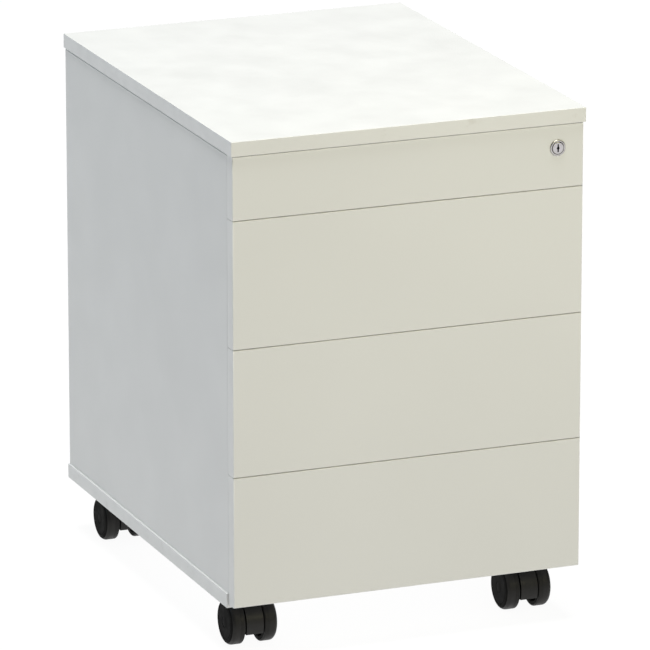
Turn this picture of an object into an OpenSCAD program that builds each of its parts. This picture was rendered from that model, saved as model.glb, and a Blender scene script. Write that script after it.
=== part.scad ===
// Rolling pedestal cabinet: a pen drawer over three deep drawers, a central
// lock with a sliding bar, ball-bearing slides and four twin-wheel casters.
// The origin is on the floor under the middle; +X right, +Y back, +Z up.

/* [Overall size] */
// Width over the top panel
width = 404; // [396:1:430]
// Depth over the top panel
depth = 520; // [516:1:560]
// Height of the top face above the floor
height = 574; // [566:1:600]
// Height of the casters, floor to bottom panel
caster_h = 58; // [58:1:64]

/* [Boards] */
// Thickness of the case boards and drawer fronts
board = 16; // [16:0.5:19]
// How far top and bottom panels stick out past the sides
overhang = 2; // [0.5:0.1:3]
// Thickness of the drawer box boards
box_board = 12; // [10:0.5:13]
// Thickness of the drawer bottoms
bottom_t = 4; // [3:0.5:5]

/* [Drawers] */
// Height of the pen drawer's front
pen_front_h = 69; // [67:1:74]
// Gap between two drawer fronts
front_gap = 0.5; // [0.5:0.5:3]
// How far each drawer pulls out
travel = 340; // [300:5:345]
// Length of the ball-bearing slides
slide_len = 450; // [450:1:455]

/* [Lock] */
// Lock centre to the right of the middle
lock_x = 170; // [168:0.5:172]
// Lock centre below the top face
lock_drop = 42; // [41:0.5:44]
// How far the locking bar slides down
bar_travel = 10; // [9:0.5:10]

/* [Casters] */
// Diameter of the wheels
wheel_d = 50; // [48:1:50]
// Width over both wheels
caster_w = 53; // [48:1:54]
// How far the axle trails the swivel
trail = 16; // [14:1:17]
// Caster centre to either side of the middle
caster_x = 160; // [150:1:165]

/* [Hidden] */
$fn = 64;
e = 0.01;

// Case
front_y = -depth / 2;
back_y = depth / 2;
side_out = width / 2 - overhang;
side_in = side_out - board;
deck_z = caster_h + board;
top_z = height - board;
face_y = front_y + 2;
inner_y = face_y + board;
case_y = inner_y + 0.5;
back_panel_y = back_y - 2 - board;

// Drawer fronts, 1 at the top to 4 at the bottom
front_low = caster_h + 8.5;
pen_low = top_z - 1 - pen_front_h;
deep_h = (pen_low - front_low - 3 * front_gap) / 3;
front_drop = 4.5;  // the lowest front reaches further down, over the bottom panel's edge
function deep_z(n) = front_low + (4 - n) * (deep_h + front_gap);
function front_z(n) = n == 1 ? pen_low : deep_z(n) - (n == 4 ? front_drop : 0);
function front_h(n) = n == 1 ? pen_front_h : deep_h + (n == 4 ? front_drop : 0);
function box_z(n) = deep_z(n) + 20;
function rail_z(n) = n == 1 ? pen_low + 12 : box_z(n) + 32;

// Slides: 12.7 wide, outer member 35 high
slide_w = 12.7;
steel = 1.2;
outer_h = 17.5;
inner_h = 10.7;
rail_y0 = case_y + 2;
outer_y1 = rail_y0 + slide_len;
inner_y1 = outer_y1 - 3;
ball_d = 5;
ball_u = 6.5;
ball_v = 13.5;
stop_t = 1.5;
cage_y0 = rail_y0 + stop_t + 0.5 + travel / 2;
cage_y1 = inner_y1 - stop_t - 0.5 - travel / 2;
cage_end = 12;

// Drawer boxes
box_out = side_in - slide_w;
box_in = box_out - box_board;
box_h = 100;
box_back_y = inner_y1;
groove = 6;
pan_t = 1;
pan_z = pen_low + 1;
pan_top = rail_z(1) + 18;
tray_x = box_out - 3;
tray_y0 = inner_y + 5;
tray_y1 = -20;

// Lock
lock_z = height - lock_drop;
lock_r = 8;
plug_r = 6.5;
pin_offset = bar_travel / 2;
pin_r = 2;
cam_y = inner_y + 4.8;
bar_y = -225;
bar_w = 12;
bar_t = 3;
bar_x = side_in + 2.8;
bar_z0 = deck_z + 16;
bar_z1 = top_z - 12;
bar_groove_w = 16;
bar_groove_t = 7;
stud_up = 33;
stud_r = 3;
stud_x = box_out + 3;
lug_up = 28.5;
lug_y = bar_y + stud_r + 2.5;
driver_y = bar_y - bar_w / 2;
guide_z = [110, 215, 355, 490];

// Casters
wheel_r = wheel_d / 2;
web_w = 19.4;
wheel_gap = 1.3;
wheel_in = web_w / 2 + wheel_gap;
wheel_w = caster_w / 2 - wheel_in;
axle_r = 3;
king_r = 4;
plate_t = 2.5;
plate_half = 21;
screw_at = 15;
front_caster_y = -177;
rear_caster_y = 216;
plate_z = caster_h - plate_t;

// ---- helpers ----------------------------------------------------------

function corner_name(c) = ["fl", "fr", "rl", "rr"][c];
function wheel_name(c, s) = str("caster_wheel_", corner_name(c), ["_right", "_left"][s]);
function corner_x(c) = c % 2 == 0 ? -caster_x : caster_x;
function corner_y(c) = c < 2 ? front_caster_y : rear_caster_y;

// A box from its low corner to its high corner.
module block(low, high) {
    translate(low) cube(high - low);
}

// The same child on the right and, mirrored, on the left.
module both_sides() {
    for (s = [0, 1]) mirror([s, 0, 0]) children();
}

// A rod along X, from x0 to x1.
module rod_x(r, x0, x1, y, z) {
    translate([x0, y, z]) rotate([0, 90, 0]) cylinder(h = x1 - x0, r = r);
}

// A rod along Y, from y0 to y1.
module rod_y(r, y0, y1, x, z) {
    translate([x, y1, z]) rotate([90, 0, 0]) cylinder(h = y1 - y0, r = r);
}

// A rod along Z, from z0 to z1.
module rod_z(r, z0, z1, x, y) {
    translate([x, y, z0]) cylinder(h = z1 - z0, r = r);
}

// A flat-headed screw along +X: its head is flush at x = 0 and its shank follows.
module flat_screw_x(length) {
    rotate([0, 90, 0]) {
        cylinder(h = 1.5, r1 = 3.4, r2 = 2);
        cylinder(h = length, r = 2);
    }
}

// A rectangle with round corners, centred.
module rounded_rect(size, r) {
    square([size[0] - 2 * r, size[1]], center = true);
    square([size[0], size[1] - 2 * r], center = true);
    for (x = [-1, 1], y = [-1, 1])
        translate([x * (size[0] / 2 - r), y * (size[1] / 2 - r)]) circle(r);
}

// ---- case -------------------------------------------------------------

module dowels(r) {
    for (y = [-180, 180], z = [deck_z - 10, top_z - 20])
        both_sides() rod_z(r, z, z + 30, side_in + board / 2, y);
    for (z = [150, 460])
        both_sides() rod_x(r, side_in - 20, side_in + 10, back_panel_y + board / 2, z);
}

module cam_bolts(r) {
    for (y = [-120, 120]) both_sides() {
        rod_z(r, top_z - 26, top_z + 10, side_in + board / 2, y);
        rod_z(r, deck_z - 10, deck_z + 26, side_in + board / 2, y);
    }
}

module cam_discs() {
    for (y = [-120, 120], z = [top_z - 24, deck_z + 24])
        both_sides() rod_x(7.5, side_in, side_in + 12.5, y, z);
}

module caster_recesses() {
    for (c = [0:3]) rod_z(8, caster_h - e, caster_h + 6, corner_x(c), corner_y(c));
}

module top_panel() {
    color("white") difference() {
        block([-width / 2, front_y, top_z], [width / 2, back_y, height]);
        dowels(4);
        cam_bolts(3);
    }
}

module bottom_panel() {
    color("white") difference() {
        block([-width / 2, case_y, caster_h], [width / 2, back_y, deck_z]);
        dowels(4);
        cam_bolts(3);
        caster_recesses();
        caster_screw_shanks();
    }
}

module side_board() {
    difference() {
        block([side_in, case_y, deck_z], [side_out, back_y, top_z]);
        dowels(4);
        cam_discs();
        cam_bolts(3);
        cabinet_screws();
    }
}

module left_side_panel() {
    color("gainsboro") mirror([1, 0, 0]) side_board();
}

module right_side_panel() {
    color("gainsboro") difference() {
        side_board();
        block([side_in - e, bar_y - bar_groove_w / 2, deck_z - e],
              [side_in + bar_groove_t, bar_y + bar_groove_w / 2, top_z + e]);
    }
}

module back_panel() {
    color("white") difference() {
        block([-side_in, back_panel_y, deck_z], [side_in, back_panel_y + board, top_z]);
        dowels(4);
    }
}

module panel_dowels() {
    color("burlywood") dowels(4);
}

module cam_fittings() {
    color("silver") {
        difference() {
            cam_discs();
            cam_bolts(3);
        }
        cam_bolts(3);
    }
}

// ---- slides -----------------------------------------------------------
// Profiles: u runs from the side panel towards the drawer, v runs up.

module outer_profile() {
    translate([0, -outer_h]) square([steel, 2 * outer_h]);
    for (s = [0, 1]) mirror([0, s]) {
        translate([0, outer_h - steel]) square([10.7, steel]);
        translate([9.5, outer_h - 2.9]) square([steel, 2.9]);
    }
}

module inner_profile() {
    translate([slide_w - steel, -inner_h]) square([steel, 2 * inner_h]);
    for (s = [0, 1]) mirror([0, s]) {
        translate([2.5, inner_h - steel]) square([slide_w - 2.5, steel]);
        translate([2.5, inner_h - steel]) square([1, 2.9]);
    }
}

// A slide profile drawn from y0 to y1 on the right-hand side panel.
module along_slide(y0, y1, z) {
    translate([side_in, y1, z]) rotate([90, 0, 0])
        linear_extrude(y1 - y0) mirror([1, 0]) children();
}

module cabinet_screws() {
    for (n = [1:4], y = [-190, -20, 170])
        both_sides() translate([side_in - steel, y, rail_z(n)]) flat_screw_x(14);
}

module cabinet_rails() {
    color("silver") difference() {
        for (n = [1:4]) both_sides() {
            along_slide(rail_y0, outer_y1, rail_z(n)) outer_profile();
            // Front stop for the ball cage
            block([side_in - 4, rail_y0, rail_z(n) - 6],
                  [side_in - steel / 2, rail_y0 + stop_t, rail_z(n) + 6]);
        }
        cabinet_screws();
    }
}

module rail_screws() {
    color("dimgray") cabinet_screws();
}

module drawer_screws(n) {
    for (y = [-170, 10, 190]) both_sides()
        translate([box_out + steel, y, rail_z(n)]) mirror([1, 0, 0])
            flat_screw_x(n == 1 ? 3.4 : 11);
}

module drawer_rails(n) {
    z = rail_z(n);
    color("silver") difference() {
        union() {
            both_sides() {
                along_slide(rail_y0, inner_y1, z) inner_profile();
                // Rear stop for the ball cage
                block([box_out + steel / 2, inner_y1 - stop_t, z - 6],
                      [side_in - 1.6, inner_y1, z + 6]);
            }
            // Lug that the locking bar's stud catches
            block([box_out, lug_y, z], [box_out + steel, lug_y + 15, z + lug_up]);
            block([box_out, lug_y, z + 19.5], [box_out + 9, lug_y + stop_t, z + lug_up]);
        }
        drawer_screws(n);
    }
}

module ball_row(n, r) {
    step = (cage_y1 - cage_y0 - 2 * cage_end) / 3;
    for (i = [0:3], v = [-ball_v, ball_v]) both_sides()
        translate([side_in - ball_u, cage_y0 + cage_end + i * step, rail_z(n) + v])
            sphere(r);
}

module cage_profile() {
    translate([1.5, -14]) square([0.7, 28]);
    for (v = [-14, 13]) translate([1.5, v]) square([8.4, 1]);
}

module ball_cages(n) {
    color("silver") {
        difference() {
            both_sides() along_slide(cage_y0, cage_y1, rail_z(n)) cage_profile();
            ball_row(n, ball_d / 2 + 0.1);
        }
        ball_row(n, ball_d / 2);
    }
}

// ---- drawers ----------------------------------------------------------

// Dowels between a front and the box sides, and screws through sides into the back.
module box_dowels(n) {
    for (z = [25, 75]) both_sides()
        rod_y(4, inner_y - 11, inner_y + 19, box_in + box_board / 2, box_z(n) + z);
}

module box_screws(n) {
    for (z = [30, 84]) both_sides()
        translate([box_out, box_back_y - box_board / 2, box_z(n) + z])
            mirror([1, 0, 0]) flat_screw_x(35);
}

module pan_screws() {
    for (x = [-120, 120], z = [500, 510]) {
        rod_y(3.5, inner_y + pan_t, inner_y + pan_t + 2, x, z);
        rod_y(1.5, inner_y - 12, inner_y + pan_t + e, x, z);
    }
}

module lock_screws() {
    for (x = [-10, 10]) {
        rod_y(2.5, inner_y + 1.5, inner_y + 2.7, lock_x + x, lock_z - 9);
        rod_y(1.3, inner_y - 10, inner_y + 1.5 + e, lock_x + x, lock_z - 9);
    }
}

module drawer_front(n) {
    color("ivory") difference() {
        block([-side_out, face_y, front_z(n)],
              [side_out, inner_y, front_z(n) + front_h(n)]);
        if (n == 1) {
            rod_y(lock_r, face_y - 1, inner_y + 1, lock_x, lock_z);
            pan_screws();
            lock_screws();
        } else {
            box_dowels(n);
        }
    }
}

module drawer_sides(n) {
    z = box_z(n);
    color("white") difference() {
        both_sides() difference() {
            block([box_in, inner_y, z], [box_out, box_back_y, z + box_h]);
            block([box_in - e, inner_y - e, z + 10],
                  [box_in + groove, box_back_y + e, z + 10 + bottom_t]);
        }
        box_dowels(n);
        box_screws(n);
        drawer_screws(n);
    }
}

module drawer_back(n) {
    z = box_z(n) + 10 + bottom_t;
    color("white") difference() {
        block([-box_in, box_back_y - box_board, z],
              [box_in, box_back_y, box_z(n) + box_h]);
        box_screws(n);
    }
}

module drawer_bottom(n) {
    z = box_z(n) + 10;
    x = box_in + groove - 0.3;
    color("white") block([-x, inner_y, z], [x, box_back_y, z + bottom_t]);
}

module drawer_fixings(n) {
    color("silver") {
        drawer_screws(n);
        if (n == 1) {
            pan_screws();
            lock_screws();
        } else {
            box_dowels(n);
            box_screws(n);
        }
    }
}

module pen_drawer_pan() {
    color("white") difference() {
        block([-box_out, inner_y, pan_z], [box_out, box_back_y, pan_top]);
        block([-box_out + pan_t, inner_y + pan_t, pan_z + pan_t],
              [box_out - pan_t, box_back_y - pan_t, pan_top + e]);
        pan_screws();
        drawer_screws(1);
    }
}

// A round-cornered pocket of the tray, from one corner to the other.
module tray_pocket(x0, x1, y0, y1) {
    translate([(x0 + x1) / 2, (y0 + y1) / 2, pan_z + pan_t + 2])
        linear_extrude(pan_top) rounded_rect([x1 - x0, y1 - y0], 6);
}

module pen_tray() {
    low = pan_z + pan_t;
    rear = tray_y0 + 70;
    bay = (2 * tray_x - 8) / 3;
    color("dimgray") difference() {
        translate([0, (tray_y0 + tray_y1) / 2, low])
            linear_extrude(pan_top - 3 - low)
                rounded_rect([2 * tray_x, tray_y1 - tray_y0], 8);
        tray_pocket(-tray_x + 2, tray_x - 2, tray_y0 + 2, rear);
        for (i = [0:2])
            tray_pocket(-tray_x + 2 + i * (bay + 2), -tray_x + 2 + i * (bay + 2) + bay,
                        rear + 2, tray_y1 - 2);
    }
}

// ---- lock -------------------------------------------------------------

module lock_housing() {
    color("silver") difference() {
        union() {
            rod_y(9, face_y - 1.2, face_y, lock_x, lock_z);
            rod_y(lock_r, face_y - 0.1, inner_y + 4, lock_x, lock_z);
            block([lock_x - 13, inner_y, lock_z - 12], [lock_x + 13, inner_y + 1.5, lock_z + 12]);
        }
        rod_y(plug_r + 0.05, face_y - 2, inner_y + 5, lock_x, lock_z);
        lock_screws();
    }
}

module lock_plug() {
    color("silver") difference() {
        union() {
            rod_y(plug_r, face_y - 1.6, inner_y + 4.4, lock_x, lock_z);
            rod_y(2, inner_y + 4, cam_y + 2, lock_x, lock_z);
        }
        // Keyhole
        rod_y(1.6, face_y - 2, face_y + 8, lock_x, lock_z);
        block([lock_x - 0.8, face_y - 2, lock_z - 4.4], [lock_x + 0.8, face_y + 8, lock_z + 4.4]);
    }
}

module lock_cam() {
    color("dimgray") difference() {
        union() {
            rod_y(lock_r, cam_y, cam_y + 2, lock_x, lock_z);
            rod_y(pin_r, cam_y + 1, driver_y + bar_t - 0.5, lock_x, lock_z + pin_offset);
        }
        rod_y(2, cam_y - 1, cam_y + 2 + e, lock_x, lock_z);
    }
}

function stud_z(n) = rail_z(n) + stud_up;

module studs(r, x0, x1) {
    for (n = [1:4]) rod_x(r, x0, x1, bar_y, stud_z(n));
}

module locking_bar() {
    slot = [11, 2 * (pin_r + 0.11 * bar_travel + 0.3)];
    z = lock_z + pin_offset;
    color("silver") difference() {
        union() {
            block([bar_x, driver_y, bar_z0], [bar_x + bar_t, driver_y + bar_w, bar_z1]);
            // Driver plate around the cam's pin
            block([lock_x - 7, driver_y, z - 5.9], [bar_x + e, driver_y + bar_t, z + 5.9]);
        }
        block([lock_x - 3, driver_y - 1, z - slot[1] / 2],
              [lock_x - 3 + slot[0], driver_y + bar_t + 1, z + slot[1] / 2]);
        studs(2, bar_x - 1, bar_x + bar_t + 1);
    }
}

module bar_studs() {
    color("silver") {
        studs(stud_r, stud_x, bar_x);
        studs(2, bar_x - e, bar_x + bar_t);
    }
}

module bar_guides() {
    gap = 0.4;
    color("black") for (z = guide_z) difference() {
        block([side_in + 0.2, bar_y - bar_groove_w / 2, z - 7],
              [side_in + bar_groove_t, bar_y + bar_groove_w / 2, z + 7]);
        block([bar_x - gap, driver_y - gap, z - 8],
              [bar_x + bar_t + gap, driver_y + bar_w + gap, z + 8]);
    }
}

// ---- casters ----------------------------------------------------------

module screw_places() {
    for (c = [0:3], i = [-1, 1], j = [-1, 1])
        translate([corner_x(c) + i * screw_at, corner_y(c) + j * screw_at, plate_z])
            children();
}

module caster_screw_shanks() {
    screw_places() cylinder(h = 15, r = 2);
}

module caster_plates() {
    color("dimgray") difference() {
        for (c = [0:3]) translate([corner_x(c), corner_y(c), plate_z])
            linear_extrude(plate_t) rounded_rect([2 * plate_half, 2 * plate_half], 4);
        for (c = [0:3])
            rod_z(king_r + 0.05, plate_z - 1, caster_h + 1, corner_x(c), corner_y(c));
        caster_screw_shanks();
    }
}

module caster_screws() {
    color("silver") {
        caster_screw_shanks();
        screw_places() translate([0, 0, -2]) cylinder(h = 2, r = 3.8);
    }
}

// One caster body at its swivel axis; the axle lies in front of it.
module caster_body(c) {
    color([0.15, 0.15, 0.15]) translate([corner_x(c), corner_y(c), 0]) difference() {
        union() {
            intersection() {
                rod_x(wheel_r - 0.5, -web_w / 2, web_w / 2, -trail, wheel_r);
                block([-web_w, -trail - wheel_r, 15], [web_w, trail, 2 * wheel_r]);
            }
            block([-web_w / 2, -trail, 30], [web_w / 2, 8, 2 * wheel_r]);
            rod_z(15, 2 * wheel_r + 0.5, plate_z - 0.5, 0, 0);
            rod_z(web_w / 2, 30, 2 * wheel_r + 1, 0, 0);
        }
        rod_z(king_r, 34, caster_h, 0, 0);
        rod_x(axle_r, -web_w, web_w, -trail, wheel_r);
    }
}

module caster_pins(c) {
    color("silver") translate([corner_x(c), corner_y(c), 0]) {
        rod_z(king_r, 34, caster_h + 0.4, 0, 0);
        rod_z(6, caster_h + 0.3, caster_h + 2.5, 0, 0);
        rod_x(axle_r, 1.5 - caster_w / 2, caster_w / 2 - 1.5, -trail, wheel_r);
    }
}

// Half of a wheel's section: r runs out from the axle, z runs to its outer face.
module wheel_profile() {
    soft = 5.5;
    lip = 1.5;
    difference() {
        union() {
            square([wheel_r - soft, wheel_w]);
            translate([wheel_r - soft, lip]) square([soft, wheel_w - soft - lip]);
            translate([wheel_r - soft, wheel_w - soft]) circle(soft);
            square([wheel_r - lip, lip + 1]);
            translate([wheel_r - lip, lip]) circle(lip);
        }
        translate([-1, -1]) square([axle_r + 1.05, wheel_w - 0.3]);
        translate([9, -1]) square([10, 6]);
    }
}

module caster_wheel(c, s) {
    color([0.12, 0.12, 0.12])
        translate([corner_x(c), corner_y(c) - trail, wheel_r]) mirror([s, 0, 0])
            translate([wheel_in, 0, 0]) rotate([0, 90, 0])
                rotate_extrude($fn = 96) wheel_profile();
}

top_panel();
bottom_panel();
left_side_panel();
right_side_panel();
back_panel();
panel_dowels();
cam_fittings();
cabinet_rails();
rail_screws();
bar_guides();
caster_plates();
caster_screws();
locking_bar();
bar_studs();
lock_housing();
lock_plug();
lock_cam();
pen_drawer_pan();
pen_tray();
for (n = [1:4]) drawer_front(n);
for (n = [1:4]) drawer_rails(n);
for (n = [1:4]) drawer_fixings(n);
for (n = [1:4]) ball_cages(n);
for (n = [2:4]) drawer_sides(n);
for (n = [2:4]) drawer_back(n);
for (n = [2:4]) drawer_bottom(n);
for (c = [0:3]) caster_body(c);
for (c = [0:3]) caster_pins(c);
for (c = [0:3], s = [0, 1]) caster_wheel(c, s);
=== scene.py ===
"""A white rolling pedestal cabinet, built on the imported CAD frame.

Everything is in metres in the CAD's own frame: the origin is on the floor under
the middle of the cabinet, -Y is the drawers' side and +Z is up.
"""
import math

import bmesh
import bpy
from mathutils import Matrix, Vector


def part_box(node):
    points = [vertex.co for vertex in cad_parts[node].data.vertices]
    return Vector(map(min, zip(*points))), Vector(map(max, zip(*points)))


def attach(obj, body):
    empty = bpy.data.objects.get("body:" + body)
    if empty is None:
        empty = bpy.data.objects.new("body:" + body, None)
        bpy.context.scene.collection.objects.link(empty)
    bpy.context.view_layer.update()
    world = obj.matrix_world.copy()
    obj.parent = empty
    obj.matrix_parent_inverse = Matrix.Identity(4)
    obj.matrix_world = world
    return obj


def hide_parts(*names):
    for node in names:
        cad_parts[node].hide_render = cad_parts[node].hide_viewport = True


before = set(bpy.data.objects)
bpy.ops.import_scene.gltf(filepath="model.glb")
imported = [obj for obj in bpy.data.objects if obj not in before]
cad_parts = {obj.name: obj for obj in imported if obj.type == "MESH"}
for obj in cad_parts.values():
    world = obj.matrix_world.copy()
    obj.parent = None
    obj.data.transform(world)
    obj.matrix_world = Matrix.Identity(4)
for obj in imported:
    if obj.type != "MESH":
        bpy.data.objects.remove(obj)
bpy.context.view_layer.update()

MM = 0.001
DEEP_DRAWERS = (2, 3, 4)
CORNERS = ("fl", "fr", "rl", "rr")
SIDES = ("left", "right")
REBATE = 2.6 * MM           # height of the shadow rebate under the top panel
REBATE_DEPTH = 0.25 * REBATE
LEDGE_ROUND = 1.4 * MM      # the bottom board's upper arrises
FRONT_ROUND = 1.2 * MM      # the fronts' seen arrises
LOCK_R = 8.0 * MM           # the lock's barrel and its hole
SHARP = math.radians(38)    # a sharper fold than this is shaded as an edge
LONG = 0.1                  # an edge longer than this runs along a board


# ---- camera, light and stage ------------------------------------------------

# A long lens far off, turned 21.8 degrees to the left of the drawers' side and
# 16.1 degrees above the horizon.
CAMERA_AT = (-2.582, -6.486, 2.304)
CAMERA_TURN = 21.76
CAMERA_RISE = 16.13
SENSOR_MM = 36.0
LENS_MM = 366.5

# A panel light's name, colour, strength and place.
PANELS = (("front_light", (1.0, 0.955, 0.655), 18.6, (0.5, -2.0, 1.35)),
          ("left_light", (0.40, 0.74, 1.0), 4.2, (-2.0, 0.4, 1.35)))
PANEL_SIZE = 1.2
FLOOR_REACH = 12.0


def make_camera():
    camera = bpy.data.cameras.new("camera")
    camera.sensor_width = SENSOR_MM
    camera.lens = LENS_MM
    camera.clip_start = 0.5
    camera.clip_end = 60.0
    holder = bpy.data.objects.new("camera", camera)
    turn, rise = math.radians(CAMERA_TURN), math.radians(CAMERA_RISE)
    look = Vector((math.sin(turn) * math.cos(rise), math.cos(turn) * math.cos(rise), -math.sin(rise)))
    holder.location = CAMERA_AT
    holder.rotation_euler = look.to_track_quat("-Z", "Y").to_euler()
    bpy.context.scene.collection.objects.link(holder)
    bpy.context.scene.camera = holder


def add_light(light, colour, strength, source, target=(0, 0, 0.3)):
    light.energy = strength
    light.color = colour
    holder = bpy.data.objects.new(light.name, light)
    holder.location = source
    holder.rotation_euler = (Vector(target) - Vector(source)).to_track_quat("-Z", "Y").to_euler()
    bpy.context.scene.collection.objects.link(holder)


def make_light():
    """A broad light overhead, a little to the left, a warm panel in front and a cool one on the left."""
    overhead = bpy.data.lights.new("top_light", "SUN")
    overhead.angle = math.radians(26)
    add_light(overhead, (0.975, 0.985, 0.99), 4.53, (-0.22, 0, 4), (0, 0, 0))
    for name, colour, strength, source in PANELS:
        panel = bpy.data.lights.new(name, "AREA")
        panel.size = PANEL_SIZE
        add_light(panel, colour, strength, source)
    world = bpy.data.worlds.new("studio")
    world.use_nodes = True
    background = world.node_tree.nodes["Background"]
    background.inputs["Color"].default_value = (0.97, 0.98, 1.0, 1)
    background.inputs["Strength"].default_value = 0.03
    bpy.context.scene.world = world
    bpy.context.scene.view_settings.view_transform = "Standard"


def make_floor():
    """A pale floor that gives a little light of its own, as a lit studio sweep does."""
    mesh = bpy.data.meshes.new("floor")
    corners = [(x * FLOOR_REACH, y * FLOOR_REACH, 0) for x, y in ((-1, -1), (1, -1), (1, 1), (-1, 1))]
    mesh.from_pydata(corners, [], [(0, 1, 2, 3)])
    floor = bpy.data.objects.new("floor", mesh)
    bpy.context.scene.collection.objects.link(floor)
    material = bpy.data.materials.new("pale_floor")
    material.use_nodes = True
    shader = material.node_tree.nodes["Principled BSDF"]
    shader.inputs["Base Color"].default_value = (0.05, 0.05, 0.05, 1)
    shader.inputs["Roughness"].default_value = 0.9
    shader.inputs["Specular IOR Level"].default_value = 0.1
    shader.inputs["Emission Color"].default_value = (1, 1, 1, 1)
    shader.inputs["Emission Strength"].default_value = 0.95
    mesh.materials.append(material)


# ---- materials ----------------------------------------------------------------

class Finish:
    """A material under construction: its nodes, its links and its shader."""

    def __init__(self, name, roughness=0.5, metallic=0.0, specular=0.5):
        self.material = bpy.data.materials.new(name)
        self.material.use_nodes = True
        self.nodes = self.material.node_tree.nodes
        self.links = self.material.node_tree.links
        self.shader = self.nodes["Principled BSDF"]
        self.shader.inputs["Roughness"].default_value = roughness
        self.shader.inputs["Metallic"].default_value = metallic
        self.shader.inputs["Specular IOR Level"].default_value = specular
        self.place = self.nodes.new("ShaderNodeTexCoord").outputs["Object"]

    def stretched(self, x, y, z):
        """Object coordinates, scaled along each axis."""
        mapping = self.nodes.new("ShaderNodeMapping")
        mapping.inputs["Scale"].default_value = (x, y, z)
        self.links.new(self.place, mapping.inputs["Vector"])
        return mapping.outputs["Vector"]

    def noise(self, scale, detail=3.0, roughness=0.5, place=None):
        node = self.nodes.new("ShaderNodeTexNoise")
        node.inputs["Scale"].default_value = scale
        node.inputs["Detail"].default_value = detail
        node.inputs["Roughness"].default_value = roughness
        self.links.new(place or self.place, node.inputs["Vector"])
        return node.outputs["Fac"]

    def cells(self, scale, place=None):
        node = self.nodes.new("ShaderNodeTexVoronoi")
        node.inputs["Scale"].default_value = scale
        self.links.new(place or self.place, node.inputs["Vector"])
        return node.outputs["Distance"]

    def spread(self, value, low, high, start=0.3, end=0.7):
        """Maps the middle of a noise onto low to high."""
        node = self.nodes.new("ShaderNodeMapRange")
        node.inputs["From Min"].default_value = start
        node.inputs["From Max"].default_value = end
        node.inputs["To Min"].default_value = low
        node.inputs["To Max"].default_value = high
        self.links.new(value, node.inputs["Value"])
        return node.outputs["Result"]

    def blend(self, factor, first, second):
        """Mixes two colours, each given as a tuple or as a socket."""
        node = self.nodes.new("ShaderNodeMix")
        node.data_type = "RGBA"
        for socket, colour in (("A", first), ("B", second)):
            target = [i for i in node.inputs if i.name == socket and i.type == "RGBA"][0]
            if isinstance(colour, tuple):
                target.default_value = (*colour, 1)
            else:
                self.links.new(colour, target)
        self.links.new(factor, node.inputs["Factor"])
        return [o for o in node.outputs if o.type == "RGBA"][0]

    def colour(self, value):
        self.links.new(value, self.shader.inputs["Base Color"])

    def rough(self, value):
        self.links.new(value, self.shader.inputs["Roughness"])

    def bump(self, height, strength, distance):
        """Adds a bump on top of the ones that are already there."""
        node = self.nodes.new("ShaderNodeBump")
        node.inputs["Strength"].default_value = strength
        node.inputs["Distance"].default_value = distance
        previous = self.shader.inputs["Normal"].links
        if previous:
            self.links.new(previous[0].from_socket, node.inputs["Normal"])
        self.links.new(height, node.inputs["Height"])
        self.links.new(node.outputs["Normal"], self.shader.inputs["Normal"])


def laminate(name, light, dark, roughness):
    """Melamine laminate: a fine pearl grain, faint cloudy tone and handling marks in the gloss."""
    finish = Finish(name, roughness, specular=0.45)
    tone = finish.spread(finish.noise(4.0, 2.0), 0.0, 1.0)
    base = finish.blend(tone, light, dark)
    fleck = finish.spread(finish.noise(900.0, 2.0), 0.0, 0.06, 0.45, 0.75)
    finish.colour(finish.blend(fleck, base, tuple(0.8 * c for c in dark)))
    finish.rough(finish.spread(finish.noise(22.0, 4.0), roughness - 0.05, roughness + 0.07))
    finish.bump(finish.cells(700.0), 0.10, 0.00006)
    finish.bump(finish.noise(180.0, 2.0), 0.06, 0.0001)
    return finish.material


def edge_band(name, light, dark, worn):
    """ABS edge band: smoother than the faces, with rubbed spots along its arrises."""
    finish = Finish(name, 0.36, specular=0.5)
    tone = finish.spread(finish.noise(9.0, 3.0), 0.0, 1.0)
    clean = finish.blend(tone, light, dark)
    rubbed = finish.spread(finish.noise(55.0, 5.0, 0.65), 0.0, 0.55, 0.60, 0.74)
    finish.colour(finish.blend(rubbed, clean, worn))
    finish.rough(finish.spread(finish.noise(60.0, 3.0), 0.30, 0.46))
    finish.bump(finish.noise(420.0, 2.0), 0.08, 0.00005)
    return finish.material


def moulded_plastic(name, light, dark, roughness, grain=1500.0, specular=0.3):
    """Moulded nylon: a fine spark-eroded grain, cloudy tone and dusty handling marks."""
    finish = Finish(name, roughness, specular=specular)
    tone = finish.spread(finish.noise(60.0, 4.0), 0.0, 1.0)
    base = finish.blend(tone, dark, light)
    dust = finish.spread(finish.noise(35.0, 5.0, 0.6), 0.0, 0.35, 0.52, 0.75)
    finish.colour(finish.blend(dust, base, tuple(1.7 * c for c in light)))
    finish.rough(finish.spread(finish.noise(90.0, 4.0), roughness - 0.08, roughness + 0.1))
    finish.bump(finish.cells(grain), 0.25, 0.00005)
    return finish.material


def plated_steel(name, light, dark, roughness, streak=(60.0, 6.0, 60.0)):
    """Zinc plate: cloudy tone and faint rolling streaks along the drawers' travel."""
    finish = Finish(name, roughness, metallic=1.0)
    cloud = finish.spread(finish.noise(45.0, 4.0), 0.0, 1.0)
    base = finish.blend(cloud, light, dark)
    spots = finish.spread(finish.noise(260.0, 3.0), 0.0, 0.4, 0.62, 0.75)
    finish.colour(finish.blend(spots, base, tuple(0.6 * c for c in dark)))
    drawn = finish.noise(12.0, 3.0, place=finish.stretched(*streak))
    finish.rough(finish.spread(drawn, roughness - 0.08, roughness + 0.12))
    finish.bump(drawn, 0.08, 0.00004)
    return finish.material


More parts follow.
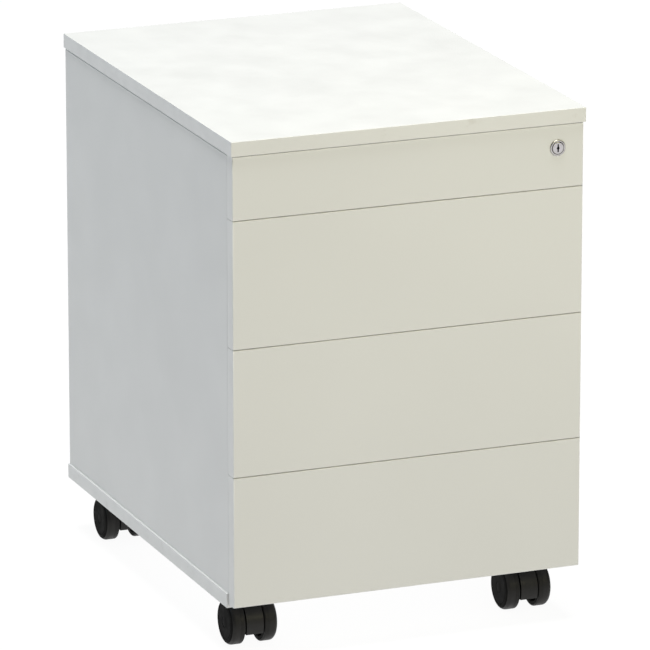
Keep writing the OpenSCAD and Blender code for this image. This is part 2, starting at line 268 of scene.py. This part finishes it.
def chrome(name, light, dark, roughness):
    """Nickel plate with fine polishing marks."""
    finish = Finish(name, roughness, metallic=1.0)
    cloud = finish.spread(finish.noise(300.0, 3.0), 0.0, 1.0)
    finish.colour(finish.blend(cloud, light, dark))
    finish.rough(finish.spread(finish.noise(500.0, 3.0), roughness - 0.05, roughness + 0.1))
    finish.bump(finish.noise(800.0, 2.0), 0.04, 0.00003)
    return finish.material


def painted_steel(name, light, dark):
    """Powder coat with a fine orange peel."""
    finish = Finish(name, 0.42, specular=0.5)
    tone = finish.spread(finish.noise(12.0, 3.0), 0.0, 1.0)
    finish.colour(finish.blend(tone, light, dark))
    finish.rough(finish.spread(finish.noise(70.0, 3.0), 0.36, 0.50))
    finish.bump(finish.noise(650.0, 2.0), 0.20, 0.0001)
    return finish.material


def turned_wood(name):
    """Plain beech with a fine grain along the dowels."""
    finish = Finish(name, 0.7)
    grain = finish.noise(30.0, 5.0, place=finish.stretched(8.0, 8.0, 1.0))
    finish.colour(finish.blend(finish.spread(grain, 0, 1), (0.62, 0.44, 0.26), (0.48, 0.32, 0.17)))
    finish.bump(grain, 0.3, 0.0001)
    return finish.material


WHITE = laminate("white_laminate", (0.705, 0.705, 0.69), (0.685, 0.685, 0.67), 0.42)
WHITE_EDGE = edge_band("white_edge_band", (0.71, 0.71, 0.695), (0.68, 0.68, 0.665), (0.60, 0.59, 0.56))
DRAWER_BOARD = laminate("drawer_board", (0.68, 0.68, 0.67), (0.64, 0.64, 0.63), 0.48)
DRAWER_EDGE = edge_band("drawer_board_edge", (0.66, 0.66, 0.65), (0.62, 0.62, 0.61), (0.54, 0.52, 0.48))
BLACK = moulded_plastic("black_nylon", (0.011, 0.0108, 0.0102), (0.007, 0.007, 0.007), 0.5, specular=0.015)
NYLON = moulded_plastic("black_fork_nylon", (0.014, 0.0132, 0.0122), (0.0092, 0.0089, 0.0085), 0.44,
                        specular=0.28)
BLACK_EDGE = moulded_plastic("rubbed_nylon", (0.017, 0.0162, 0.015), (0.011, 0.0108, 0.0104), 0.42,
                             specular=0.16)
TREAD = moulded_plastic("soft_tread", (0.014, 0.013, 0.0118), (0.0092, 0.0087, 0.0082), 0.46, 1100.0, 0.26)
TRAY = moulded_plastic("black_tray", (0.026, 0.026, 0.027), (0.015, 0.015, 0.016), 0.5, 900.0)
ZINC = plated_steel("zinc_plate", (0.66, 0.67, 0.69), (0.54, 0.55, 0.57), 0.34)
ZINC_EDGE = plated_steel("rubbed_zinc", (0.74, 0.75, 0.76), (0.62, 0.63, 0.65), 0.26)
DARK_STEEL = plated_steel("black_steel", (0.10, 0.10, 0.105), (0.07, 0.07, 0.072), 0.45)
STEEL_EDGE = plated_steel("rubbed_black_steel", (0.20, 0.20, 0.205), (0.12, 0.12, 0.122), 0.38)
CAST_ZINC = plated_steel("cast_zinc", (0.50, 0.50, 0.51), (0.40, 0.40, 0.41), 0.5, (30.0, 30.0, 30.0))
CHROME = chrome("bright_nickel", (0.58, 0.56, 0.57), (0.50, 0.48, 0.49), 0.16)
# Rubbed nickel for the lock's eased rims and the rosette's edge, made darker and warmer as well as painted
# shade on those rims.
CHROME_RUBBED_AND_SHADED = chrome("rubbed_and_shaded_nickel", (0.46, 0.45, 0.41), (0.38, 0.37, 0.34), 0.24)
# Painted shade: a near-black finish laid inside the plug's keyway and in the housing's seat round the plug,
# where only shade falls.
PAINTED_SHADE_BLACK = moulded_plastic("keyway_painted_shade", (0.012, 0.011, 0.010), (0.006, 0.006, 0.006), 0.5, specular=0.1)
PAINT = painted_steel("white_powder_coat", (0.70, 0.70, 0.69), (0.65, 0.65, 0.64))
PAINT_EDGE = painted_steel("rubbed_powder_coat", (0.64, 0.64, 0.63), (0.56, 0.56, 0.55))
BEECH = turned_wood("beech")


# ---- mesh helpers -----------------------------------------------------------------

def add_piece(name, bm, materials, body, node):
    """Turns a bmesh into a piece that rides on a body and stands for a CAD node."""
    mesh = bpy.data.meshes.new(name)
    bmesh.ops.recalc_face_normals(bm, faces=bm.faces)
    for edge in bm.edges:
        edge.smooth = edge.calc_face_angle(0.0) < SHARP
    bm.to_mesh(mesh)
    bm.free()
    for material in materials:
        mesh.materials.append(material)
    piece = bpy.data.objects.new(name, mesh)
    bpy.context.scene.collection.objects.link(piece)
    mesh.shade_smooth()
    weighted = piece.modifiers.new("weighted", "WEIGHTED_NORMAL")
    weighted.keep_sharp = True
    weighted.mode = "FACE_AREA"
    weighted.weight = 100
    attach(piece, body)
    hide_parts(node)


def shape_bevel(bm, edges, radius, steps):
    bmesh.ops.bevel(bm, geom=edges, offset=radius, segments=steps, profile=0.5,
                    affect="EDGES", clamp_overlap=True)


def finish_board(bm, face_axis):
    """Faces across face_axis are material 0, the edge bands 1."""
    bm.normal_update()
    for face in bm.faces:
        face.material_index = 0 if abs(face.normal[face_axis]) > 0.999 else 1
    return bm


def block(low, high):
    """A plain block between two corners."""
    bm = bmesh.new()
    bmesh.ops.create_cube(bm, size=1.0)
    for vertex in bm.verts:
        vertex.co = Vector(low[i] if vertex.co[i] < 0 else high[i] for i in range(3))
    return bm


def rounded_board(low, high, radius, face_axis, front_radius=None):
    """A board with eased edges; the arrises round its low face can be rounder."""
    bm = block(low, high)
    if front_radius:
        seen = [e for e in bm.edges if all(abs(v.co[face_axis] - low[face_axis]) < 1e-6 for v in e.verts)]
        shape_bevel(bm, seen, front_radius, 5)
        inner = low[face_axis] + front_radius * 1.01
        shape_bevel(bm, [e for e in bm.edges if all(v.co[face_axis] > inner for v in e.verts)], radius, 3)
    else:
        shape_bevel(bm, list(bm.edges), radius, 3)
    return finish_board(bm, face_axis)


def bore(bm, x, z, radius, steps=64):
    """Bores a round hole along Y through the two large faces of a board."""
    bm.normal_update()
    sheets = sorted((f for f in bm.faces if abs(f.normal.y) > 0.999), key=lambda f: -f.calc_area())[:2]
    rims = []
    for sheet in sheets:
        y, border, normal = sheet.verts[0].co.y, list(sheet.edges), sheet.normal.copy()
        index = sheet.material_index
        ring = [bm.verts.new((x + radius * math.cos(2 * math.pi * i / steps), y,
                              z + radius * math.sin(2 * math.pi * i / steps))) for i in range(steps)]
        circle = [bm.edges.new((ring[i], ring[(i + 1) % steps])) for i in range(steps)]
        bmesh.ops.delete(bm, geom=[sheet], context="FACES_ONLY")
        filled = bmesh.ops.triangle_fill(bm, use_beauty=True, use_dissolve=False,
                                         edges=border + circle, normal=normal)
        for item in filled["geom"]:
            if isinstance(item, bmesh.types.BMFace):
                item.material_index = index
        rims.append(ring)
    for i in range(steps):
        j = (i + 1) % steps
        bm.faces.new((rims[0][i], rims[0][j], rims[1][j], rims[1][i]))


def board(name, node, body, radius, face_axis, front_radius=None, hole=None):
    """A laminated board that stands for a CAD node of the same box."""
    low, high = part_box(node)
    bm = rounded_board(low, high, radius, face_axis, front_radius)
    if hole:
        bore(bm, *hole)
    add_piece(name, bm, (WHITE, WHITE_EDGE), body, node)


def turned_point(axis, centre, direction, along, radius, angle):
    """A point of a turned outline; the outline runs along +-axis from centre."""
    point = Vector(centre)
    point[axis] += direction * along
    point[1 - axis] += radius * math.cos(angle)
    point[2] += radius * math.sin(angle)
    return point


def lathe(bm, profile, axis, centre, direction, steps=96):
    """Turns a closed outline of (along, radius, material) about X (0) or Y (1)."""
    rings = []
    for step in range(steps):
        angle = 2 * math.pi * step / steps
        rings.append([bm.verts.new(turned_point(axis, centre, direction, along, radius, angle))
                      for along, radius, _ in profile])
    count = len(profile)
    for step in range(steps):
        here, there = rings[step], rings[(step + 1) % steps]
        for i in range(count):
            j = (i + 1) % count
            if profile[i][1] < 1e-9 and profile[j][1] < 1e-9:
                continue
            face = bm.faces.new((here[i], here[j], there[j], there[i]))
            face.material_index = profile[i][2]
    bmesh.ops.remove_doubles(bm, verts=bm.verts, dist=1e-7)


def arc(along, radius, size, start, end, steps, material):
    """Points on an arc of a turned outline, angles in degrees from the axis outwards."""
    points = []
    for i in range(steps + 1):
        angle = math.radians(start + (end - start) * i / steps)
        points.append((along + size * math.cos(angle), radius + size * math.sin(angle), material))
    return points


def prism(bm, outline, axis, low, high, material=0):
    """A closed outline in the plane across axis, extruded from low to high along it."""
    rings = []
    for along in (low, high):
        points = [[*point] for point in outline]
        for point in points:
            point.insert(axis, along)
        rings.append([bm.verts.new(point) for point in points])
    for ring in rings:
        bm.faces.new(ring).material_index = material
    count = len(outline)
    for i in range(count):
        j = (i + 1) % count
        face = bm.faces.new((rings[0][i], rings[0][j], rings[1][j], rings[1][i]))
        face.material_index = material


def dress(node, material, bevel=None, rubbed=None, steps=2):
    """Keeps a CAD node and gives it a finish; its arrises are eased and rubbed brighter."""
    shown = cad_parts[node]
    shown.data.materials.clear()
    shown.data.materials.append(material)
    if rubbed:
        shown.data.materials.append(rubbed)
    if bevel:
        ease = shown.modifiers.new("ease", "BEVEL")
        ease.width = bevel
        ease.segments = steps
        ease.limit_method = "ANGLE"
        ease.angle_limit = math.radians(40)
        ease.material = 1 if rubbed else -1


# ---- case -------------------------------------------------------------------------

def make_case():
    board("top_board", "top_panel", "cabinet", 0.5 * MM, 2)
    make_bottom()
    board("back_board", "back_panel", "cabinet", 0.5 * MM, 1)
    make_left_side()
    make_right_side()
    dress("panel_dowels", BEECH, 0.3 * MM)
    dress("cam_fittings", CAST_ZINC, 0.2 * MM)


def make_bottom():
    """The bottom board, with round upper arrises where it stands out past the sides."""
    bm = block(*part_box("bottom_panel"))
    middle = sum(v.co.z for v in bm.verts) / len(bm.verts)
    upper = [e for e in bm.edges if all(v.co.z > middle for v in e.verts)]
    ledges = [e for e in upper if abs(e.verts[0].co.y - e.verts[1].co.y) > LONG]
    shape_bevel(bm, ledges, LEDGE_ROUND, 5)
    finish_board(bm, 2)
    add_piece("bottom_board", bm, (WHITE, WHITE_EDGE), "cabinet", "bottom_panel")


def add_side(name, node, outline, low, high, outer):
    """A side board pulled from its plan, with a shadow rebate under the top panel."""
    bm = bmesh.new()
    prism(bm, outline, 2, low[2], high[2] - REBATE)
    upright = [e for e in bm.edges if all(abs(v.co.x - outer) < 1e-5 for v in e.verts)
               and abs(e.verts[0].co.z - e.verts[1].co.z) > LONG]
    shape_bevel(bm, upright, 0.5 * MM, 3)
    inwards = math.copysign(REBATE_DEPTH, -outer)
    neck = [(x + inwards if abs(x - outer) < 1e-5 else x, y) for x, y in outline]
    prism(bm, neck, 2, high[2] - REBATE, high[2])
    add_piece(name, finish_board(bm, 0), (WHITE, WHITE_EDGE), "cabinet", node)


def make_left_side():
    low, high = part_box("left_side_panel")
    outline = [(low[0], low[1]), (high[0], low[1]), (high[0], high[1]), (low[0], high[1])]
    add_side("left_board", "left_side_panel", outline, low, high, low[0])


def make_right_side():
    """The right side, with the groove that the locking bar runs in."""
    low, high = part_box("right_side_panel")
    groove_low, groove_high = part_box("bar_guides")
    outline = [
        (low[0], low[1]), (low[0], groove_low[1]),
        (groove_high[0], groove_low[1]), (groove_high[0], groove_high[1]),
        (low[0], groove_high[1]), (low[0], high[1]), (high[0], high[1]), (high[0], low[1]),
    ]
    add_side("right_board", "right_side_panel", outline, low, high, high[0])


# ---- drawers ------------------------------------------------------------------------

def make_drawers():
    plug_low, plug_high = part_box("lock_plug")
    lock_hole = ((plug_low[0] + plug_high[0]) / 2, (plug_low[2] + plug_high[2]) / 2, LOCK_R)
    for n in (1, *DEEP_DRAWERS):
        board(f"front_board_{n}", f"drawer_front_{n}", f"drawer_{n}", 0.3 * MM, 1, FRONT_ROUND,
              lock_hole if n == 1 else None)
        dress(f"drawer_rails_{n}", ZINC, 0.25 * MM, ZINC_EDGE)
        dress(f"drawer_fixings_{n}", ZINC, 0.2 * MM, ZINC_EDGE)
        dress(f"ball_cages_{n}", ZINC)
    for n in DEEP_DRAWERS:
        dress(f"drawer_sides_{n}", DRAWER_BOARD, 0.6 * MM, DRAWER_EDGE)
        dress(f"drawer_back_{n}", DRAWER_BOARD, 0.6 * MM, DRAWER_EDGE)
        dress(f"drawer_bottom_{n}", DRAWER_BOARD, 0.2 * MM, DRAWER_EDGE)
    dress("pen_drawer_pan", PAINT, 0.25 * MM, PAINT_EDGE)
    dress("pen_tray", TRAY, 0.6 * MM, BLACK_EDGE, 3)
    dress("cabinet_rails", ZINC, 0.25 * MM, ZINC_EDGE)
    dress("rail_screws", ZINC, 0.2 * MM, ZINC_EDGE)


# ---- lock ---------------------------------------------------------------------------

def keyhole(half_width, reach, round_radius, steps=8):
    """The keyway's outline: a slot with a round middle, anticlockwise from its upper right."""
    turn = math.asin(half_width / round_radius)
    down = [turn + (math.pi - 2 * turn) * i / steps for i in range(steps + 1)]
    up = [math.pi - turn - (math.pi - 2 * turn) * i / steps for i in range(steps + 1)]
    points = [(half_width, reach), (-half_width, reach)]
    points += [(-round_radius * math.sin(angle), round_radius * math.cos(angle)) for angle in down]
    points += [(-half_width, -reach), (half_width, -reach)]
    points += [(round_radius * math.sin(angle), round_radius * math.cos(angle)) for angle in up]
    return points


def ring_of(bm, points, y, centre):
    """Vertices of a ring of (x, z) points round a centre, at one depth."""
    return [bm.verts.new((centre[0] + x, y, centre[2] + z)) for x, z in points]


def wall(bm, first, second, material):
    """Faces between two rings of equal length."""
    count = len(first)
    for i in range(count):
        j = (i + 1) % count
        bm.faces.new((first[i], first[j], second[j], second[i])).material_index = material


def make_plug():
    """The plug: an eased barrel whose face is cut by a deep keyway, and its tail."""
    low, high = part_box("lock_plug")
    centre = ((low[0] + high[0]) / 2, 0, (low[2] + high[2]) / 2)
    radius = (high[0] - low[0]) / 2
    circle = [(math.cos(2 * math.pi * i / 72), math.sin(2 * math.pi * i / 72)) for i in range(72)]
    bm = bmesh.new()
    tail_at, tail_r = high[1] - 4.4 * MM, 2.0 * MM
    profile = ((low[1], radius - 0.5 * MM), (low[1] + 0.15 * MM, radius - 0.15 * MM),
               (low[1] + 0.5 * MM, radius), (tail_at, radius), (tail_at, tail_r), (high[1], tail_r))
    rings = [ring_of(bm, [(r * x, r * z) for x, z in circle], y, centre) for y, r in profile]
    for i in range(len(rings) - 1):
        wall(bm, rings[i], rings[i + 1], 1 if i < 2 else 0)
    bm.faces.new(rings[-1])
    outline = keyhole(0.8 * MM, 4.4 * MM, 1.6 * MM)
    narrower = [(x * 0.94, z * 0.97) for x, z in outline]
    mouth = ring_of(bm, outline, low[1], centre)
    lip = ring_of(bm, narrower, low[1] + 0.2 * MM, centre)
    deep = ring_of(bm, narrower, low[1] + 9.0 * MM, centre)
    wall(bm, mouth, lip, 1)
    # The keyway's walls and floor are painted near-black as shade.
    wall(bm, lip, deep, 2)
    bm.faces.new(deep).material_index = 2
    bm.edges.ensure_lookup_table()
    rims = [e for ring in (rings[0], mouth) for i in range(len(ring))
            for e in ring[i].link_edges if e.other_vert(ring[i]) is ring[(i + 1) % len(ring)]]
    bmesh.ops.triangle_fill(bm, use_beauty=True, use_dissolve=False, edges=rims, normal=(0, -1, 0))
    add_piece("plug", bm, (CHROME, CHROME_RUBBED_AND_SHADED, PAINTED_SHADE_BLACK), "lock", "lock_plug")


def make_housing():
    """The housing: a domed rosette, a barrel whose seat round the plug is painted near-black as shade, and
    its flange.
    """
    low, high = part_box("lock_housing")
    plug_low, plug_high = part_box("lock_plug")
    centre = ((plug_low[0] + plug_high[0]) / 2, low[1], (plug_low[2] + plug_high[2]) / 2)
    seat, length = (plug_high[0] - plug_low[0]) / 2 + 0.05 * MM, high[1] - low[1]
    # shade (2) is the near-black painted shade in the seat round the plug.
    face, rubbed, shade = 0, 1, 2
    outline = [(length, seat, face), (1.0 * MM, seat, shade), (0.95 * MM, seat + 0.3 * MM, shade),
               (0.25 * MM, seat + 0.35 * MM, rubbed), (0.0, seat + 0.6 * MM, face)]
    # The rosette's rim takes the rubbed finish, which is darker as well as painted shade.
    outline += [(0.0, 8.0 * MM, rubbed), (0.12 * MM, 8.45 * MM, rubbed), (0.4 * MM, 8.8 * MM, rubbed)]
    outline += [(0.8 * MM, 8.95 * MM, rubbed), (1.2 * MM, 9.0 * MM, face)]
    outline += [(1.2 * MM, LOCK_R, face), (length, LOCK_R, face)]
    bm = bmesh.new()
    lathe(bm, outline, 1, centre, 1)
    flange_low = (low[0], high[1] - 4.0 * MM, low[2])
    flange_high = (high[0], high[1] - 2.5 * MM, high[2])
    flange = rounded_board(flange_low, flange_high, 0.3 * MM, 1)
    bore(flange, centre[0], centre[2], LOCK_R)
    spare = bpy.data.meshes.new("flange")
    flange.to_mesh(spare)
    flange.free()
    bm.from_mesh(spare)
    bpy.data.meshes.remove(spare)
    add_piece("housing", bm, (CHROME, CHROME_RUBBED_AND_SHADED, PAINTED_SHADE_BLACK), "drawer_1", "lock_housing")


def make_lock():
    make_plug()
    make_housing()
    dress("lock_cam", DARK_STEEL, 0.2 * MM, STEEL_EDGE)
    dress("locking_bar", ZINC, 0.3 * MM, ZINC_EDGE)
    dress("bar_studs", ZINC, 0.3 * MM, ZINC_EDGE)
    dress("bar_guides", NYLON, 0.4 * MM, BLACK_EDGE)


# ---- casters --------------------------------------------------------------------------

def wheel_outline(radius, width):
    """Half of a wheel's section from its inner face at 0 to its outer face at width."""
    soft, lip = 5.5 * MM, 1.5 * MM
    hub, tread, rubbed = 0, 1, 2
    bore, face = 3.05 * MM, width
    outline = [(0, bore, hub), (0, 8.0 * MM, hub), (0.8 * MM, 9.0 * MM, hub), (5.0 * MM, 9.4 * MM, hub)]
    outline += [(5.0 * MM, 18.6 * MM, hub), (0.8 * MM, 19.0 * MM, hub)]
    outline += [(0, 20.0 * MM, hub), (0, radius - lip, hub)]
    outline += arc(lip, radius - lip, lip, 180, 90, 5, rubbed)
    middle = (lip + width - soft) / 2
    outline += [(middle - 0.4 * MM, radius, tread), (middle, radius - 0.15 * MM, tread)]
    outline += [(middle + 0.4 * MM, radius, tread)]
    outline += arc(width - soft, radius - soft, soft, 90, 45, 6, tread)
    outline += arc(width - soft, radius - soft, soft, 37.5, 0, 5, hub)
    ring, dish = face - 0.35 * MM, face - 0.3 * MM
    outline += [(face, 18.9 * MM, hub), (ring, 18.6 * MM, hub), (ring, 18.3 * MM, hub)]
    outline += [(face, 18.0 * MM, hub), (face, 6.6 * MM, hub), (dish, 6.3 * MM, hub), (dish, 6.0 * MM, hub)]
    outline += [(face - 0.05 * MM, 5.6 * MM, hub), (face, 0, hub)]
    outline += [(face - 1.3 * MM, 0, hub), (face - 1.3 * MM, bore, hub)]
    return outline


def add_ribs(bm, centre, direction, ribs=6):
    """Ribs between a wheel's hub and its rim, on its inner face."""
    sunk, half, from_r, to_r = 0.6 * MM, 0.8 * MM, 8.9 * MM, 19.1 * MM
    corners = ((-half, from_r), (half, from_r), (half, to_r), (-half, to_r))
    for i in range(ribs):
        turn = Matrix.Rotation(2 * math.pi * i / ribs, 3, "X")
        near = [bm.verts.new(Vector(centre) + turn @ Vector((direction * sunk, y, z))) for y, z in corners]
        far = [bm.verts.new(v.co + Vector((direction * 4.6 * MM, 0, 0))) for v in near]
        bm.faces.new(near)
        bm.faces.new(far)
        wall(bm, near, far, 0)


def make_wheel(corner, side):
    node = f"caster_wheel_{corner}_{side}"
    low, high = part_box(node)
    radius = (high[2] - low[2]) / 2
    direction = 1 if side == "right" else -1
    inner = low[0] if side == "right" else high[0]
    centre = (inner, (low[1] + high[1]) / 2, (low[2] + high[2]) / 2)
    bm = bmesh.new()
    lathe(bm, wheel_outline(radius, high[0] - low[0]), 0, centre, direction)
    add_ribs(bm, centre, direction)
    name = f"wheel_{corner}_{side}"
    add_piece(name, bm, (BLACK, TREAD, BLACK_EDGE), name, node)


def make_casters():
    dress("caster_plates", DARK_STEEL, 0.4 * MM, STEEL_EDGE)
    dress("caster_screws", ZINC, 0.3 * MM, ZINC_EDGE)
    for corner in CORNERS:
        dress(f"caster_body_{corner}", NYLON, 0.8 * MM, BLACK_EDGE, 3)
        dress(f"caster_pins_{corner}", ZINC, 0.2 * MM, ZINC_EDGE)
        for side in SIDES:
            make_wheel(corner, side)


make_camera()
make_light()
make_floor()
make_case()
make_drawers()
make_lock()
make_casters()
